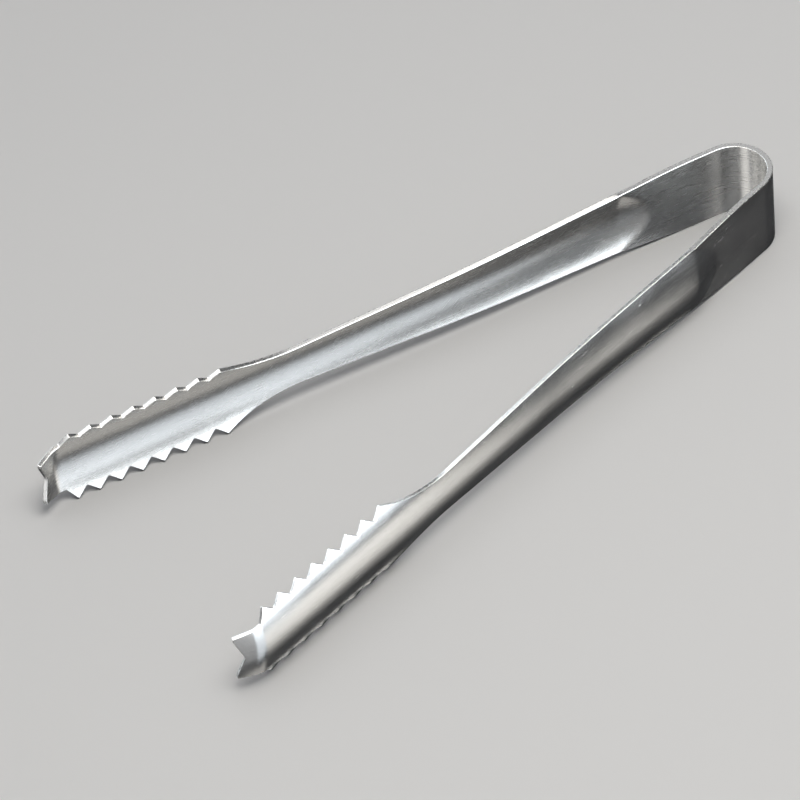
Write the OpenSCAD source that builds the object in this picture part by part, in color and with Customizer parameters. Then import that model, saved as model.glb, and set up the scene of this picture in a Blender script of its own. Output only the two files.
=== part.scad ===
// Ice tongs: one strip of stainless steel bent into a spring bow with two troughed arms.
// The strip is drawn as five sections, so that the bow can flex where it meets the arms.
// X runs from the bow to the claws, Y is across the opening and Z is across the strip's width.
// The origin is the bow's apex: middle of the strip's thickness, on the lower edge the tongs rest on.

/* [Strip] */
// Width of the strip around the bow
strip_w = 20; // [14:0.5:26]
// Thickness of the strip at the bow
bow_t = 1.3; // [0.8:0.1:2]
// Thickness of the strip at the claws
claw_t = 1; // [0.8:0.1:1.5]

/* [Bow] */
// Radius of the bow, to the middle of the strip
bow_r = 8.3; // [7:0.1:14]
// Angle between each open arm and the middle plane
spread = 10; // [6:0.1:14]
// Straight length of each side of the bow, up to the line where it flexes
bow_leg = 4; // [2:0.5:8]

/* [Arms] */
// Length along an arm, from the end of the bend to the first tooth
arm_len = 128.6; // [110:0.2:180]
// Full width that the taper starts from at the bow
root_w = 19.4; // [14:0.1:24]
// Full width at the neck behind the claw
neck_w = 10.9; // [8:0.1:16]
// Angle of the strip's edges where the trough is widest, at the claws
edge_tilt = 26; // [10:1:35]
// Where the trough begins, from the end of the bend
trough_start = 18; // [12:1:40]
// Slope at which the trough runs in from the flat strip
trough_slope = 0.23; // [0.1:0.01:0.3]
// Length over which the edges lean in, until the middle of the arm is straight again
lean_run = 56; // [40:1:65]

/* [Claws] */
// Teeth along each edge of a claw
teeth = 8; // [4:1:9]
// Distance from tooth to tooth
tooth_pitch = 5.34; // [3:0.02:6]
// Depth of the notch between two teeth
tooth_depth = 2.15; // [1:0.05:2.8]
// Full height of a claw over its teeth
claw_w = 20; // [16:0.1:26]
// Length of the flare between the neck and the first tooth
shoulder_len = 20.3; // [16:0.1:30]

/* [Tips] */
// Distance from the last tooth to the corner where the prongs begin and the tip bends inward
corner_run = 2.2; // [1:0.1:4]
// Full width over the corners
corner_w = 13.8; // [11:0.1:15]
// Angle the tip is bent inward
tip_bend = 34; // [10:1:45]
// Radius of that bend, to the middle of the strip
tip_bend_r = 5; // [4:0.1:8]
// Length of the tip from the bend to the bottom of the notch
tip_flat = 2.2; // [1:0.1:4]
// Depth of the V notch between the two prongs
notch_depth = 2.5; // [1:0.05:4]
// Share of the trough's curve that is left at the prong points
tip_arch = 0.5; // [0:0.05:1]
// Full width over the prong points
prong_w = 12; // [8:0.1:13]

/* [Hidden] */
$fn = 96;
steel = "lightgray";

cells = 12; // facets across the strip's width
crease = 0.2; // how softly the trough leaves the flat strip
lap = 0.05; // how far a straight leg runs into the bend, so that the two fuse
half = strip_w / 2;
claw_half = (claw_w - claw_t * sin(edge_tilt)) / 2;
neck_at = arm_len - shoulder_len;
taper = (root_w - neck_w) / 2 / neck_at;
// rise of the flare above the tapering edge at the first tooth, and the radius that gives it
flare_rise = claw_half - taper_half(arm_len);
flare_r = (shoulder_len^2 + flare_rise^2) / (2 * flare_rise);
last_tooth = arm_len + (teeth - 1) * tooth_pitch;
bend_at = last_tooth + corner_run;
bend_arc = tip_bend_r * tip_bend * PI / 180;
flat_at = bend_at + bend_arc;
notch_at = flat_at + tip_flat;
strip_end = notch_at + notch_depth;
width_run = 23; // length over which the parallel strip turns into the taper

// end of the bend, and the directions along and out of the left arm
bend_end = [bow_r * (1 - sin(spread)), bow_r * cos(spread)];
function along(angle) = [cos(angle), sin(angle)];
function outward(angle) = [-sin(angle), cos(angle)];
function mix(a, b, f) = a + (b - a) * f;
function ease(f) = let (c = min(max(f, 0), 1)) c * c * (3 - 2 * c);

// Path of the middle of the left strip in plan, by the distance s from the end of the bend
function bent(s) = min(max(s - bend_at, 0), bend_arc) / tip_bend_r * 180 / PI;
function heading(s) = spread - bent(s);
function path(s) =
    let (turned = bent(s), rest = max(s - flat_at, 0))
    bend_end + along(spread) * min(s, bend_at)
    + tip_bend_r * (outward(spread - turned) - outward(spread)) + along(heading(s)) * rest;

// Half width of the strip: parallel at the bow, tapering arm, flared shoulder, claw
function taper_half(s) = root_w / 2 - taper * s;
function flare(s) = s < neck_at ? 0 : flare_r - sqrt(flare_r^2 - (s - neck_at)^2);
function arm_half(s) =
    mix(half, taper_half(s), ease((s - bow_leg) / width_run)) + flare(s);
function tip_half(s) = mix(corner_w, prong_w, (s - bend_at) / (strip_end - bend_at)) / 2;
function body_half(s) = s < arm_len ? arm_half(s) : claw_half;

// The trough is an arc of one radius across the strip, and only the tip is flatter. Returns 1 / radius.
function arch(s) =
    sin(edge_tilt) / claw_half * mix(1, tip_arch, ease((s - bend_at) / (strip_end - bend_at)));
function arc_depth(k, z) = k * z^2 / (1 + sqrt(1 - (k * z)^2));

// It is pressed outward into the flat strip and runs in on a slope, which leaves an oval end.
// pressed() is how deep it is in the middle of the strip, and bulge() how far the middle stands out.
function soft_plus(x) = (x + sqrt(x^2 + crease^2)) / 2;
function pressed(s) = trough_slope * (s - trough_start);
function bulge(s) =
    let (full = arc_depth(arch(s), body_half(s)) * (1 - ease((s - trough_start) / lean_run)))
    pressed(s) - soft_plus(pressed(s) - full);
function thickness(s) =
    mix(bow_t, claw_t, min((s - bow_leg) / (arm_len - bow_leg), 1));

// A point of the left strip: z from the middle of the width, side +1 outside and -1 inside
function skin(s, z, side) =
    let (
        k = arch(s),
        above = arc_depth(k, z) - pressed(s),
        share = (1 - above / sqrt(above^2 + crease^2)) / 2,
        lean = share * k * z,
        half_t = side * thickness(s) / 2,
        out = bulge(s) - arc_depth(k, z) + soft_plus(above) + half_t * sqrt(1 - lean^2),
        p = path(s) + outward(heading(s)) * out
    )
    [p[0], p[1], half + z + half_t * lean];

// A section is [distance, half width, how far its edges run ahead of its middle]
function row(sec, side) = [
    for (i = [0:cells])
        let (v = 2 * i / cells - 1)
        skin(sec[0] + sec[2] * abs(v), v * sec[1], side)
];

// Closed solid through a list of sections: outside and inside rows join at the edges and ends
module strip(sections) {
    n = cells + 1;
    loop = 2 * n;
    last = (len(sections) - 1) * loop;
    points = [
        for (sec = sections)
            each concat(row(sec, 1), [for (i = [cells:-1:0]) row(sec, -1)[i]])
    ];
    walls = [
        for (a = [0:loop:last - 1])
            for (i = [0:loop - 1])
                let (j = (i + 1) % loop)
                each [[a + i, a + loop + i, a + j], [a + j, a + loop + i, a + loop + j]]
    ];
    caps = [
        for (i = [0:cells - 1])
            let (j = loop - 1 - i)
            each [
                [i, i + 1, j - 1], [i, j - 1, j],
                [last + i, last + j - 1, last + i + 1], [last + i, last + j, last + j - 1]
            ]
    ];
    polyhedron(points, concat(walls, caps), convexity = 8);
}

// Sections of the arm, then of the claw: shoulder, teeth, corner, bend, flat tip with its notch
arm_steps = 40;
shoulder_steps = 8;
bend_steps = 7;
arm_sections = [
    for (i = [0:arm_steps])
        let (s = mix(bow_leg, neck_at, i / arm_steps))
        [s, arm_half(s), 0]
];
claw_sections = concat(
    [
        for (i = [0:shoulder_steps - 1])
            let (s = mix(neck_at, arm_len, i / shoulder_steps))
            [s, arm_half(s), 0]
    ],
    [
        for (i = [0:2 * teeth - 2])
            [arm_len + i * tooth_pitch / 2, claw_half - (i % 2) * tooth_depth, 0]
    ],
    [
        for (i = [0:bend_steps])
            let (s = mix(bend_at, flat_at, i / bend_steps))
            [s, tip_half(s), 0]
    ],
    [[notch_at, prong_w / 2, notch_depth]]
);

// The bow: the bend and a short straight leg on each side, up to the flex lines
module bow() {
    color(steel)
        union() {
            translate([bow_r, 0, 0])
                rotate([0, 0, 90 + spread])
                    rotate_extrude(angle = 180 - 2 * spread)
                        translate([bow_r - bow_t / 2, 0])
                            square([bow_t, strip_w]);
            bow_side();
            mirror([0, 1, 0]) bow_side();
        }
}

module bow_side() {
    translate([bend_end[0], bend_end[1], 0])
        rotate([0, 0, spread])
            translate([-lap, -bow_t / 2, 0])
                cube([bow_leg + lap, bow_t, strip_w]);
}

module arm_left() {
    color(steel) strip(arm_sections);
}

module arm_right() {
    color(steel) mirror([0, 1, 0]) strip(arm_sections);
}

module claw_left() {
    color(steel) strip(claw_sections);
}

module claw_right() {
    color(steel) mirror([0, 1, 0]) strip(claw_sections);
}

bow();
arm_left();
arm_right();
claw_left();
claw_right();
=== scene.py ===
"""Looks of the ice tongs: one bent strip of stainless steel, as skins that ride on the CAD bodies."""

import math

import bpy
import numpy as np
from mathutils import Matrix, Vector


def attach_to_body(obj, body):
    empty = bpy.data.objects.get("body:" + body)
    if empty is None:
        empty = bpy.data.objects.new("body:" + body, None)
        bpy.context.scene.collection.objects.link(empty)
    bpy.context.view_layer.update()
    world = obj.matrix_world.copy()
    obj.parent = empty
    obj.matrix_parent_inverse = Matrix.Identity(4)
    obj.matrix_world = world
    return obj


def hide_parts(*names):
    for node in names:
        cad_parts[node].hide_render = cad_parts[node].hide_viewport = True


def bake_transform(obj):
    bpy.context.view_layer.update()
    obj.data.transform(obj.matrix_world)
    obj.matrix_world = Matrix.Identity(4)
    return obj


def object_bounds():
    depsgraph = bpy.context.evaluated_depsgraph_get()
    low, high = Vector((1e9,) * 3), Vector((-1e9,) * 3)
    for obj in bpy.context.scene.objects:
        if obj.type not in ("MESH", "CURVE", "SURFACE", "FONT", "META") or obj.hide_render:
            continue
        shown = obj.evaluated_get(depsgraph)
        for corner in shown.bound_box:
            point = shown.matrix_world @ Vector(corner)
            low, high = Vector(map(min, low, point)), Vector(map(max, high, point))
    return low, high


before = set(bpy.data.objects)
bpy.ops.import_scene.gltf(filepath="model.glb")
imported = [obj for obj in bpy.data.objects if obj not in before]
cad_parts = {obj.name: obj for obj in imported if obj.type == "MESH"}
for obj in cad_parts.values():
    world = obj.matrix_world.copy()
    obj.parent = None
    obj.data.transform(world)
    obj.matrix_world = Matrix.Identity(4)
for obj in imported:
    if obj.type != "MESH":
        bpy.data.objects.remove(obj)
cad_low, cad_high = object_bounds()

MM = 0.001

# ---- Driving dimensions, in millimetres, the same as the CAD frame's ----
# Strip and bow
strip_w = (cad_high.z - cad_low.z) / MM
bow_t = 1.3
claw_t = 1.0
bow_r = 8.3
spread = math.radians(10)
bow_leg = 4.0
# Arms and trough
arm_len = 128.6
root_w = 19.4
neck_w = 10.9
width_run = 23.0
edge_tilt = math.radians(26)
trough_start = 18.0
trough_slope = 0.23
crease = 0.2
lean_run = 56.0
# Claws
teeth = 8
tooth_pitch = 5.34
tooth_depth = 2.15
claw_w = 20.0
shoulder_len = 20.3
# Tips
corner_run = 2.2
corner_w = 13.8
tip_bend = math.radians(34)
tip_bend_r = 5.0
tip_flat = 2.2
notch_depth = 2.5
tip_arch = 0.5
prong_w = 12.0

# ---- Finish of the edges, which the CAD model leaves sharp ----
# How round the strip's long edges, the teeth's points and roots, and the notch's bottom are
rim_round = 0.15
tooth_round = 0.12
notch_round = 0.04
# How much of a prong's point is gone
prong_blunt = 0.25

# ---- Worked out from the dimensions above ----
half = strip_w / 2
claw_half = (claw_w - claw_t * math.sin(edge_tilt)) / 2
neck_at = arm_len - shoulder_len
taper = (root_w - neck_w) / 2 / neck_at
last_tooth = arm_len + (teeth - 1) * tooth_pitch
bend_at = last_tooth + corner_run
bend_arc = tip_bend_r * tip_bend
flat_at = bend_at + bend_arc
notch_at = flat_at + tip_flat
strip_end = notch_at + notch_depth
bow_end = bow_r * (math.pi / 2 - spread)
# Where the bow's skin ends: it reaches past the hinge and the trough's start
flex_past_trough = 4.0
flex_end = trough_start + flex_past_trough


def mix(a, b, share):
    return a + (b - a) * share


def ease(x):
    c = np.clip(x, 0.0, 1.0)
    return c * c * (3 - 2 * c)


def soft_plus(x, width):
    """0 below and x above, with a rounded corner of that width."""
    return (x + np.sqrt(x * x + width * width)) / 2


# ---- The strip's shape: s runs along it from the end of the bow's bend, negative in the bend ----
def along(angle):
    return np.stack([np.cos(angle), np.sin(angle)], axis=-1)


def outward(angle):
    return np.stack([-np.sin(angle), np.cos(angle)], axis=-1)


def heading(s):
    in_bow = np.maximum(-s, 0) / bow_r
    in_tip = np.clip(s - bend_at, 0, bend_arc) / tip_bend_r
    return spread + in_bow - in_tip


def path(s):
    """Middle of the left strip, seen from above."""
    start = np.array([bow_r, 0.0]) + bow_r * outward(heading(np.minimum(s, 0)))
    straight = along(np.full_like(s, spread)) * np.clip(s, 0, bend_at)[..., None]
    bent = tip_bend_r * (outward(heading(np.maximum(s, 0))) - outward(np.full_like(s, spread)))
    rest = along(heading(s)) * np.maximum(s - flat_at, 0)[..., None]
    return start + straight + bent + rest


def taper_half(s):
    return root_w / 2 - taper * s


flare_rise = claw_half - taper_half(arm_len)
flare_r = (shoulder_len**2 + flare_rise**2) / (2 * flare_rise)
# The flare's curve runs on past the first tooth, so that the tooth's point is rounded off it cleanly
flare_past_tooth = 3.0


def arm_half(s):
    run = np.clip(s - neck_at, 0, shoulder_len + flare_past_tooth)
    flare = flare_r - np.sqrt(flare_r**2 - run**2)
    return mix(half, taper_half(s), ease((s - bow_leg) / width_run)) + flare


def toothed_half(s):
    """Half width of the claw: a zigzag of teeth, the corner, then the prongs' sides."""
    knots = [arm_len + i * tooth_pitch / 2 for i in range(2 * teeth - 1)] + [bend_at, strip_end]
    widths = [claw_half - (i % 2) * tooth_depth for i in range(2 * teeth - 1)]
    widths += [corner_w / 2, prong_w / 2]
    slopes = np.diff(widths) / np.diff(knots)
    out = widths[0] + slopes[0] * (s - knots[0])
    for knot, change in zip(knots[1:-1], np.diff(slopes)):
        out = out + change * soft_plus(s - knot, tooth_round)
    return out


def edge_half(s):
    arm = arm_half(s)
    return arm - soft_plus(arm - toothed_half(s), tooth_round)


def body_half(s):
    return np.where(s < arm_len, arm_half(s), claw_half)


def arch(s):
    flatter = ease((s - bend_at) / (strip_end - bend_at))
    return math.sin(edge_tilt) / claw_half * mix(1, tip_arch, flatter)


def arc_depth(k, z):
    return k * z**2 / (1 + np.sqrt(1 - (k * z) ** 2))


def pressed(s):
    return trough_slope * (s - trough_start)


def bulge(s):
    full = arc_depth(arch(s), body_half(s)) * (1 - ease((s - trough_start) / lean_run))
    return pressed(s) - soft_plus(pressed(s) - full, crease)


def half_thickness(s):
    return mix(bow_t, claw_t, np.clip((s - bow_leg) / (arm_len - bow_leg), 0, 1)) / 2


def place(s, z, n):
    """Point of the left strip: z from the middle of its width, n out from the middle of its thickness."""
    k = arch(s)
    above = arc_depth(k, z) - pressed(s)
    share = (1 - above / np.sqrt(above**2 + crease**2)) / 2
    lean = share * k * z
    out = bulge(s) - arc_depth(k, z) + soft_plus(above, crease) + n * np.sqrt(1 - lean**2)
    xy = path(s) + outward(heading(s)) * out[..., None]
    return np.concatenate([xy, (half + z + n * lean)[..., None]], axis=-1)


# ---- Stations along the strip: [s, how far the notch has opened, how far the section is inset] ----
# Spacing of the stations, and how far the close ones reach from the place that needs them
ARC_STEP = 0.45
FLAT_STEP = 0.5
CREASE_STEP = 0.28
CREASE_LEAD = 3.0
CREASE_REACH = 14.0
TOOTH_LEAD = 2.0
TIP_STEP = 0.25
TIP_LEAD = 0.3
TIP_LEAD_STEP = 0.08
TIP_FLAT_ROWS = 10
ROUND_ROWS = 4
# Share of the edge's radius that is left where the prongs' ends close
ROUND_LEFT = 0.1
# Shares of a stretch between two corners, crowded towards both
CLUSTER = [0.0, 0.025, 0.06, 0.12, 0.22, 0.36, 0.5, 0.64, 0.78, 0.88, 0.94, 0.975]


def steps(start, stop, step):
    count = max(1, round((stop - start) / step))
    return [mix(start, stop, i / count) for i in range(count)]


def crowded(start, stop):
    return [mix(start, stop, share) for share in CLUSTER]


def plain_stations():
    """From just past the bow's apex to the bend of the tip."""
    rows = [-bow_end - ARC_STEP]
    rows += steps(-bow_end, 0, ARC_STEP)
    rows += steps(0, trough_start - CREASE_LEAD, FLAT_STEP)
    rows += steps(trough_start - CREASE_LEAD, flex_end, CREASE_STEP)
    rows += steps(flex_end, trough_start + CREASE_REACH, CREASE_STEP)
    rows += steps(trough_start + CREASE_REACH, neck_at, FLAT_STEP)
    rows += steps(neck_at, arm_len - TOOTH_LEAD, FLAT_STEP)
    rows += crowded(arm_len - TOOTH_LEAD, arm_len)
    for i in range(2 * teeth - 2):
        rows += crowded(arm_len + i * tooth_pitch / 2, arm_len + (i + 1) * tooth_pitch / 2)
    rows += crowded(last_tooth, bend_at)
    rows += steps(bend_at, bend_at + TIP_LEAD, TIP_LEAD_STEP)
    rows += steps(bend_at + TIP_LEAD, flat_at, TIP_STEP)
    return rows


def stations():
    """All stations: up to the tip's bend, along its flat, then round the edge at the prongs' ends."""
    rows = [[s, 0.0, 0.0] for s in plain_stations()]
    for i in range(TIP_FLAT_ROWS):
        opened = i / TIP_FLAT_ROWS
        rows.append([mix(flat_at, notch_at - rim_round, opened), opened, 0.0])
    for i in range(ROUND_ROWS + 1):
        turn = math.acos(ROUND_LEFT) * i / ROUND_ROWS
        rows.append([notch_at - rim_round * (1 - math.sin(turn)), 1.0, rim_round * (1 - math.cos(turn))])
    return np.array(rows)


# ---- The loop around one section: outside face, rounded edge, inside face, rounded edge ----
# Cells across the plain middle, each toothed band beside it, and a rounded corner
INNER_CELLS = 26
BAND_CELLS = 8
CORNER_CELLS = 4
# The middle's share of the body's width, and the most of the toothed width that it may take
INNER_SHARE = 0.6
INNER_MOST = 0.8
# Share of the half width from which a prong's point is blunted
BLUNT_FROM = 0.86


def face_shares():
    """Places across a face from -1 to 1, as (share of the middle, share of the band along the edge)."""
    middle = [(2 * i / INNER_CELLS - 1, 0.0) for i in range(INNER_CELLS + 1)]
    band = [(1.0, (i + 1) / BAND_CELLS) for i in range(BAND_CELLS)]
    below = [(-a, -b) for a, b in reversed(band)]
    return below + middle + band


def section_loop():
    """Rows of [middle share, band share, corner z, corner n, side]; corner z and n are on a unit circle."""
    face = [[a, b, 0.0, 1.0, 1.0] for a, b in face_shares()]
    turn = [math.pi / 2 * (i + 1) / CORNER_CELLS for i in range(CORNER_CELLS)]
    corner = [[1.0, 1.0, math.sin(t), math.cos(t), 1.0] for t in turn]
    upper_half = face[len(face) // 2:] + corner
    lower_half = [[-a, -b, -c, d, e] for a, b, c, d, e in reversed(upper_half[1:])]
    outside = lower_half + upper_half
    inside = [[a, b, c, d, -e] for a, b, c, d, e in reversed(outside)]
    return np.array(outside + inside)


def strip_grid():
    """Points of the whole left side, their (s, z, n), and the stations' places along the strip."""
    rows = stations()
    loop = section_loop()
    s, opened, inset = (rows[:, i][:, None] for i in range(3))
    middle, band, corner_z, corner_n, side = (loop[:, i][None, :] for i in range(5))
    run_edge = s + opened * (notch_depth - prong_blunt)
    edge = edge_half(run_edge) - rim_round
    inner = np.minimum(INNER_SHARE * body_half(s), INNER_MOST * edge)
    reach = middle * inner + band * (edge - inner)
    corner_r = rim_round - inset
    z = reach + corner_r * corner_z
    share = np.clip(np.abs(reach) / edge, 0, 1)
    vee = np.sqrt(share**2 + notch_round**2) - notch_round
    blunt = prong_blunt * ease((share - BLUNT_FROM) / (1 - BLUNT_FROM))
    s_all = s + opened * (notch_depth * vee - blunt)
    n = side * (half_thickness(s_all) - rim_round + corner_r * corner_n)
    return place(s_all, z, n), np.stack([s_all, z, n], axis=-1), rows[:, 0]


def smooth_normals(points):
    """Normals from the grid itself, so that neighbouring pieces share them along their seams."""
    ds = np.gradient(points, axis=0)
    dl = np.roll(points, -1, axis=1) - np.roll(points, 1, axis=1)
    normals = np.cross(dl, ds)
    return normals / np.linalg.norm(normals, axis=-1, keepdims=True)


# Material slots of every skin
INSIDE_SLOT, OUTSIDE_SLOT, RIM_SLOT = range(3)


def face_slots():
    """Material slot for each column of faces around the section."""
    corner_z, side = section_loop()[:, 2], section_loop()[:, 4]
    flat = (corner_z == 0) & (np.roll(corner_z, -1) == 0) & (side == np.roll(side, -1))
    return np.where(flat, np.where(side > 0, OUTSIDE_SLOT, INSIDE_SLOT), RIM_SLOT)


def grid_faces(count, size):
    rings = np.arange(count - 1)[:, None] * size
    j = np.arange(size)[None, :]
    k = (j + 1) % size
    quads = np.stack([rings + j, rings + k, rings + size + k, rings + size + j], axis=-1)
    return quads.reshape(-1, 4)


def cap_faces(offset, size, forward):
    j = np.arange(size // 2 - 1)
    quads = np.stack([j, j + 1, size - 2 - j, size - 1 - j], axis=-1) + offset
    return quads if forward else quads[:, ::-1]


def make_skin(name, points, coords, normals, side, materials):
    """One closed piece of the strip. side is 1 for the left arm and -1 for its mirror image."""
    count, size = points.shape[:2]
    flip = np.array([1.0, side, 1.0])
    faces, wall_count = skin_faces(count, size, side)
    mesh = bpy.data.meshes.new(name)
    mesh.from_pydata((points.reshape(-1, 3) * flip * MM).tolist(), [], faces.tolist())
    set_slots(mesh, count, wall_count, materials)
    add_grain(mesh, coords)
    add_run_uv(mesh, coords.reshape(-1, 3), faces, size)
    set_normals(mesh, (normals.reshape(-1, 3) * flip)[faces.ravel()], wall_count)
    piece = bpy.data.objects.new(name, mesh)
    bpy.context.scene.collection.objects.link(piece)
    return piece


def skin_faces(count, size, side):
    """Faces of one piece, walls first and then its two closed ends, and how many of them are walls."""
    walls = grid_faces(count, size)
    caps = [cap_faces(0, size, False), cap_faces((count - 1) * size, size, True)]
    faces = np.concatenate([walls] + caps)
    return (faces if side > 0 else faces[:, ::-1]), len(walls)


def set_slots(mesh, count, wall_count, materials):
    """The closed ends take the rim's material and are flat-shaded. The walls are smooth."""
    for material in materials:
        mesh.materials.append(material)
    face_count = len(mesh.polygons)
    slots = np.full(face_count, RIM_SLOT, dtype=np.int32)
    slots[:wall_count] = np.tile(face_slots(), count - 1)
    mesh.polygons.foreach_set("material_index", slots)
    mesh.polygons.foreach_set("use_smooth", np.arange(face_count) < wall_count)


def set_normals(mesh, corner_normals, wall_count):
    """The walls take the grid's normals, and each corner of a closed end takes its face's own normal."""
    own = [tuple(face.normal) for face in mesh.polygons[wall_count:]]
    corner_normals[wall_count * 4:] = np.repeat(np.array(own), 4, axis=0)
    mesh.normals_split_custom_set(corner_normals.tolist())


def add_grain(mesh, coords):
    """The strip's own coordinates at each point, in metres, which the materials' noise follows."""
    grain = mesh.attributes.new("grain", "FLOAT_VECTOR", "POINT")
    grain.data.foreach_set("vector", (coords * MM).astype(np.float32).ravel())


def add_run_uv(mesh, coords, faces, size):
    """A UV map for the brushing's direction: U runs along the strip and V runs round the section."""
    column = np.arange(len(coords)) % size
    corners = faces.ravel()
    v = column[corners].astype(float)
    wraps = (column[faces] == 0).any(1) & (column[faces] == size - 1).any(1)
    wrapped = np.repeat(wraps, 4) & (v == 0)
    v[wrapped] = size
    uv = np.stack([coords[corners, 0] / strip_end, v / size], axis=-1)
    layer = mesh.uv_layers.new(name="run")
    layer.data.foreach_set("uv", uv.astype(np.float32).ravel())


# ---- Materials ----
def empty_material(name):
    material = bpy.data.materials.new(name)
    material.use_nodes = True
    material.node_tree.nodes.clear()
    return material


def add(tree, kind, inputs=None, **settings):
    """Adds a node, sets its settings and gives its inputs values or links."""
    node = tree.nodes.new(kind)
    for key, value in settings.items():
        setattr(node, key, value)
    for key, value in (inputs or {}).items():
        if isinstance(value, bpy.types.NodeSocket):
            tree.links.new(value, node.inputs[key])
        else:
            node.inputs[key].default_value = value
    return node


def math_node(tree, operation, a, b=0.0):
    return add(tree, "ShaderNodeMath", {0: a, 1: b}, operation=operation).outputs[0]


def remap(tree, value, low, high, to_low, to_high):
    inputs = {"Value": value, "From Min": low, "From Max": high, "To Min": to_low, "To Max": to_high}
    return add(tree, "ShaderNodeMapRange", inputs).outputs[0]


def weighted_sum(tree, first, *others):
    """Adds up pairs of a value and its weight."""
    total = math_node(tree, "MULTIPLY", *first)
    for term in others:
        total = math_node(tree, "ADD", total, math_node(tree, "MULTIPLY", *term))
    return total


# Features per millimetre along and across the strip, or through its thickness
SCRATCH_PER_MM = (0.12, 9.0)
PATCH_PER_MM = (0.12, 0.25)
CLOUD_PER_MM = (0.08, 0.16)
PITS_PER_MM = (3.0, 3.0)
THROUGH_PER_MM = 2.0
NOISE_ROUGHNESS = 0.55
# Turn, in radians, and seed of each layer of scratches
SCRATCH_LAYERS = ((0.1, 3.0), (-0.15, 11.0), (0.7, 17.0))
SCRATCH_SOFTNESS = 0.04
PATCH_SEED = 7.0
PATCH_RANGE = (0.5, 0.6)
SCRATCH_ROUGHNESS = 0.07
# Weights of fine and broad brushing
BRUSH_WEIGHTS = (0.6, 0.4)
# Most noise values lie in this range, and nearly all in the wider one
NOISE_RANGE = (0.3, 0.7)
WIDE_RANGE = (0.25, 0.75)


def stretched_noise(tree, grain, per_mm, seed, turn=0.0, detail=2.0):
    """Noise in the strip's own coordinates, with so many features per millimetre along and across it."""
    turned = add(tree, "ShaderNodeMapping", {"Vector": grain, "Rotation": (0, 0, turn)})
    scale = (per_mm[0] / MM, per_mm[1] / MM, THROUGH_PER_MM / MM)
    inputs = {"Vector": turned.outputs[0], "Scale": scale, "Location": (seed, seed, seed)}
    scaled = add(tree, "ShaderNodeMapping", inputs)
    inputs = {"Vector": scaled.outputs[0], "Scale": 1.0, "Detail": detail, "Roughness": NOISE_ROUGHNESS}
    return add(tree, "ShaderNodeTexNoise", inputs).outputs["Fac"]


def scratch_layer(tree, grain, turn, seed, rarity):
    """Thin hairline marks at one angle, gathered in a few patches."""
    lines = stretched_noise(tree, grain, SCRATCH_PER_MM, seed, turn, detail=0.0)
    patches = stretched_noise(tree, grain, PATCH_PER_MM, seed + PATCH_SEED, detail=1.0)
    marks = remap(tree, lines, rarity, rarity + SCRATCH_SOFTNESS, 0.0, 1.0)
    return math_node(tree, "MULTIPLY", marks, remap(tree, patches, *PATCH_RANGE, 0.0, 1.0))


def all_scratches(tree, grain, rarity):
    """0 where the steel is sound and up to 1 in a scratch of any layer."""
    marks = 0.0
    for turn, seed in SCRATCH_LAYERS:
        marks = math_node(tree, "MAXIMUM", marks, scratch_layer(tree, grain, turn, seed, rarity))
    return marks


def brushed_roughness(tree, brushing, cloud, scratches, look):
    brushed = remap(tree, brushing, *NOISE_RANGE, *look["rough"])
    clouds = remap(tree, cloud, *NOISE_RANGE, -look["cloud"], look["cloud"])
    polished = math_node(tree, "ADD", brushed, clouds)
    return math_node(tree, "ADD", polished, math_node(tree, "MULTIPLY", scratches, SCRATCH_ROUGHNESS))


def steel(name, look):
    """Stainless steel with brushing along the strip, cloudy polish, hairline scratches and fine pits."""
    material = empty_material(name)
    tree = material.node_tree
    grain = add(tree, "ShaderNodeAttribute", attribute_name="grain").outputs["Vector"]
    fine = stretched_noise(tree, grain, look["fine"], seed=1.0)
    broad = stretched_noise(tree, grain, look["broad"], seed=4.0)
    cloud = stretched_noise(tree, grain, CLOUD_PER_MM, seed=9.0, turn=0.3, detail=3.0)
    pits = stretched_noise(tree, grain, PITS_PER_MM, seed=2.0)
    scratches = all_scratches(tree, grain, look["rarity"])
    brushing = weighted_sum(tree, (fine, BRUSH_WEIGHTS[0]), (broad, BRUSH_WEIGHTS[1]))
    tone = remap(tree, brushing, *WIDE_RANGE, 0.0, 1.0)
    tones = {"Factor": tone, "A": look["dark"], "B": look["light"]}
    heights = [
        (fine, look["fine_height"]),
        (broad, look["broad_height"]),
        (pits, look["pit_height"]),
        (scratches, -look["scratch_depth"]),
    ]
    bumps = {"Height": weighted_sum(tree, *heights), "Strength": 1.0, "Distance": MM}
    inputs = {
        "Base Color": add(tree, "ShaderNodeMix", tones, data_type="RGBA").outputs["Result"],
        "Metallic": 1.0,
        "Roughness": brushed_roughness(tree, brushing, cloud, scratches, look),
        "Anisotropic": look["anisotropic"],
        "Tangent": add(tree, "ShaderNodeTangent", direction_type="UV_MAP", uv_map="run").outputs[0],
        "Normal": add(tree, "ShaderNodeBump", bumps).outputs[0],
    }
    surface = add(tree, "ShaderNodeBsdfPrincipled", inputs)
    add(tree, "ShaderNodeOutputMaterial", {"Surface": surface.outputs[0]})
    return material


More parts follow.
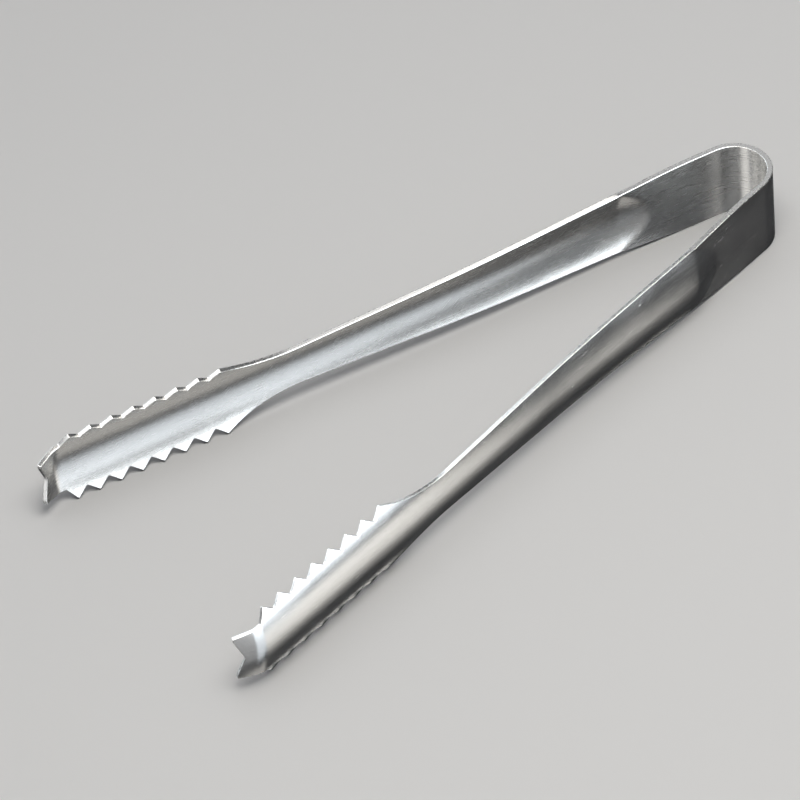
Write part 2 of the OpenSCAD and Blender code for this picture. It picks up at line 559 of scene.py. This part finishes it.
# Features per millimetre, ranges of roughness, tones, and heights of the relief in millimetres
INSIDE = {
    "fine": (0.3, 9.0), "broad": (0.06, 2.6), "rough": (0.21, 0.29), "cloud": 0.02, "rarity": 0.76,
    "dark": (0.7, 0.7, 0.695, 1), "light": (0.8, 0.8, 0.79, 1), "fine_height": 0.0006,
    "broad_height": 0.0006, "pit_height": 0.0004, "scratch_depth": 0.0004, "anisotropic": 0.3,
}
OUTSIDE = {
    "fine": (0.15, 8.0), "broad": (0.04, 1.6), "rough": (0.15, 0.21), "cloud": 0.02, "rarity": 0.72,
    "dark": (0.66, 0.665, 0.67, 1), "light": (0.76, 0.76, 0.755, 1), "fine_height": 0.0005,
    "broad_height": 0.0008, "pit_height": 0.0002, "scratch_depth": 0.0004, "anisotropic": 0.2,
}
RIM = {
    "fine": (1.4, 0.5), "broad": (0.3, 0.3), "rough": (0.22, 0.34), "cloud": 0.03, "rarity": 0.8,
    "dark": (0.72, 0.72, 0.71, 1), "light": (0.84, 0.835, 0.82, 1), "fine_height": 0.0003,
    "broad_height": 0.0005, "pit_height": 0.0001, "scratch_depth": 0.0004, "anisotropic": 0.1,
}


def nearest(values, wanted):
    return int(np.argmin(np.abs(values - wanted)))


def build_tongs():
    points, coords, along_strip = strip_grid()
    normals = smooth_normals(points)
    materials = [steel("steel_inside", INSIDE), steel("steel_outside", OUTSIDE), steel("steel_rim", RIM)]
    cuts = [nearest(along_strip, cut) for cut in (-bow_end, flex_end, neck_at, strip_end)]
    for side, word in ((1, "left"), (-1, "right")):
        pieces = {}
        for first, last, part in zip(cuts[:-1], cuts[1:], ("bow", "arm", "claw")):
            rows = slice(first, last + 1)
            name = f"{part}_skin_{word}"
            pieces[part] = make_skin(name, points[rows], coords[rows], normals[rows], side, materials)
        attach(pieces, word)


def attach(pieces, word):
    """The arm and the claw ride on the moving body, and the bow's skin stays fixed where it was built."""
    body = f"{word}_arm"
    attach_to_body(pieces["arm"], body)
    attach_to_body(pieces["claw"], body)
    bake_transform(pieces["bow"])
    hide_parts("bow")
    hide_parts(f"arm_{word}")
    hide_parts(f"claw_{word}")


# ---- The stage ----
FLOOR_COLOUR = (0.84, 0.845, 0.855, 1)
TABLE_DARK = (0.04, 0.04, 0.042, 1)
TABLE_IOR = 1.9
TABLE_ROUGHNESS = 0.16
FLOOR_REACH = 6.0


def floor_material():
    """Pale and matt to look at. The steel mirrors it as a dark, semi-gloss table, for the contrast."""
    material = empty_material("floor")
    tree = material.node_tree
    pale = add(tree, "ShaderNodeBsdfDiffuse", {"Color": FLOOR_COLOUR})
    dark = add(tree, "ShaderNodeBsdfDiffuse", {"Color": TABLE_DARK})
    gloss = add(tree, "ShaderNodeBsdfAnisotropic", {"Color": (1, 1, 1, 1), "Roughness": TABLE_ROUGHNESS})
    sheen = add(tree, "ShaderNodeFresnel", {"IOR": TABLE_IOR}).outputs[0]
    table = add(tree, "ShaderNodeMixShader", {0: sheen, 1: dark.outputs[0], 2: gloss.outputs[0]})
    mirrored = add(tree, "ShaderNodeLightPath").outputs["Is Glossy Ray"]
    both = add(tree, "ShaderNodeMixShader", {0: mirrored, 1: pale.outputs[0], 2: table.outputs[0]})
    add(tree, "ShaderNodeOutputMaterial", {"Surface": both.outputs[0]})
    return material


def make_floor():
    mesh = bpy.data.meshes.new("floor")
    corners = [(-1, -1), (1, -1), (1, 1), (-1, 1)]
    mesh.from_pydata([(FLOOR_REACH * x, FLOOR_REACH * y, 0) for x, y in corners], [], [(0, 1, 2, 3)])
    floor = bpy.data.objects.new("floor", mesh)
    mesh.materials.append(floor_material())
    bpy.context.scene.collection.objects.link(floor)


# Light, in metres from the origin: the side panels' plane, the ceiling and the panels before the bow
WHITE = (1, 1, 1)
WARM = (1, 0.965, 0.9)
COOL = (0.9, 0.955, 1)
PANEL_Y = 0.42
CEILING_Z = 0.8
FRONT_DISTANCE = 0.75
SKY_COLOUR = (0.35, 0.36, 0.38, 1)
SKY_STRENGTH = 0.3


def direction(azimuth, elevation):
    """Unit vector towards those angles, in radians. Azimuth runs from +X towards +Y."""
    flat = math.cos(elevation)
    return Vector((flat * math.cos(azimuth), flat * math.sin(azimuth), math.sin(elevation)))


def area_light(name, centre, facing, size, radiance, colour, on_floor, on_steel=True):
    """A softbox that looks as bright as its radiance, and lights the floor, the steel or both."""
    data = bpy.data.lights.new(name, "AREA")
    data.shape = "RECTANGLE"
    data.size, data.size_y = size
    data.energy = radiance * math.pi * size[0] * size[1]
    data.color = colour
    light = bpy.data.objects.new(name, data)
    light.matrix_world = Matrix.Translation(centre) @ facing.to_4x4()
    light.visible_diffuse = on_floor
    light.visible_glossy = on_steel
    bpy.context.scene.collection.objects.link(light)


def side_panel(name, centre, size, roll, radiance, colour):
    """An upright panel beside the tongs, seen by the steel only. Roll leans its top towards -X."""
    turn = math.radians(-90 if centre[1] > 0 else 90)
    facing = Matrix.Rotation(turn, 3, "X") @ Matrix.Rotation(math.radians(-roll), 3, "Z")
    area_light(name, Vector(centre), facing, size, radiance, colour, False)


def ceiling_panel(name, x, y, size, radiance, colour):
    area_light(name, Vector((x, y, CEILING_Z)), Matrix.Identity(3), size, radiance, colour, True)


def floor_light(height, size, radiance):
    """A broad light for the floor alone, which keeps it pale and even without washing out the steel."""
    centre = Vector((0, 0, height))
    area_light("floor_light", centre, Matrix.Identity(3), (size, size), radiance, WHITE, True, False)


def front_panel(name, azimuth, elevation, size, radiance, colour):
    """A panel further off that faces the bow, seen by the steel only. The angles are in degrees."""
    towards = direction(math.radians(azimuth), math.radians(elevation))
    facing = towards.to_track_quat("Z", "Y").to_matrix()
    area_light(name, towards * FRONT_DISTANCE, facing, size, radiance, colour, False)


def make_world():
    world = bpy.data.worlds.new("studio")
    world.use_nodes = True
    sky = world.node_tree.nodes["Background"]
    sky.inputs["Color"].default_value = SKY_COLOUR
    sky.inputs["Strength"].default_value = SKY_STRENGTH
    bpy.context.scene.world = world


def make_stage():
    make_floor()
    make_world()
    side_panel("side_softbox", (0.03, PANEL_Y, 0.25), (0.36, 0.5), 0, 8.0, COOL)
    side_panel("low_softbox", (-0.185, PANEL_Y, 0.07), (0.07, 0.14), 0, 4.0, COOL)
    side_panel("side_fill", (0.38, PANEL_Y, 0.25), (0.32, 0.5), 0, 3.0, WHITE)
    side_panel("back_softbox", (-0.287, PANEL_Y, 0.47), (0.17, 0.5), 30, 9.0, WARM)
    side_panel("back_fill", (-0.5, PANEL_Y, 0.88), (0.16, 0.3), 30, 3.5, WARM)
    side_panel("far_softbox", (0.21, -0.5, 0.25), (0.6, 0.4), 0, 2.6, COOL)
    ceiling_panel("overhead", 0.1, 0.21, (0.5, 0.42), 4.8, WARM)
    ceiling_panel("rim_light", -0.14, -0.08, (0.16, 0.34), 1.3, WHITE)
    front_panel("front_softbox", 8, 43, (0.26, 0.25), 6.0, WARM)
    front_panel("front_fill", -15, 43, (1.0, 0.3), 3.0, WHITE)
    front_panel("front_low", -8, 14, (0.5, 0.38), 1.3, WHITE)
    front_panel("rear_fill", -130, 43, (0.4, 0.3), 0.5, WHITE)
    floor_light(2.0, 3.0, 0.42)
    # The polished strip would otherwise throw bright patches of the panels on the floor
    bpy.context.scene.cycles.caustics_reflective = False


# ---- The camera ----
# Lens and sensor in millimetres, places and distances in metres
CAMERA_LENS = 249.66
CAMERA_SENSOR = 36.0
CAMERA_NEAREST = 0.05
CAMERA_DISTANCE = 1.2282
CAMERA_AZIMUTH = math.radians(55.6)
CAMERA_ELEVATION = math.radians(44.47)
CAMERA_ROLL = math.radians(-6.0)
CAMERA_AIM = (0.10474, -0.00195, 0.01)


def make_camera():
    data = bpy.data.cameras.new("camera")
    data.lens = CAMERA_LENS
    data.sensor_width = CAMERA_SENSOR
    data.clip_start = CAMERA_NEAREST
    camera = bpy.data.objects.new("camera", data)
    back = direction(CAMERA_AZIMUTH, CAMERA_ELEVATION)
    turn = (-back).to_track_quat("-Z", "Y").to_matrix() @ Matrix.Rotation(CAMERA_ROLL, 3, "Z")
    camera.matrix_world = Matrix.Translation(Vector(CAMERA_AIM) + back * CAMERA_DISTANCE) @ turn.to_4x4()
    bpy.context.scene.collection.objects.link(camera)
    bpy.context.scene.camera = camera


build_tongs()
make_stage()
make_camera()
bpy.context.scene.view_settings.view_transform = "Standard"
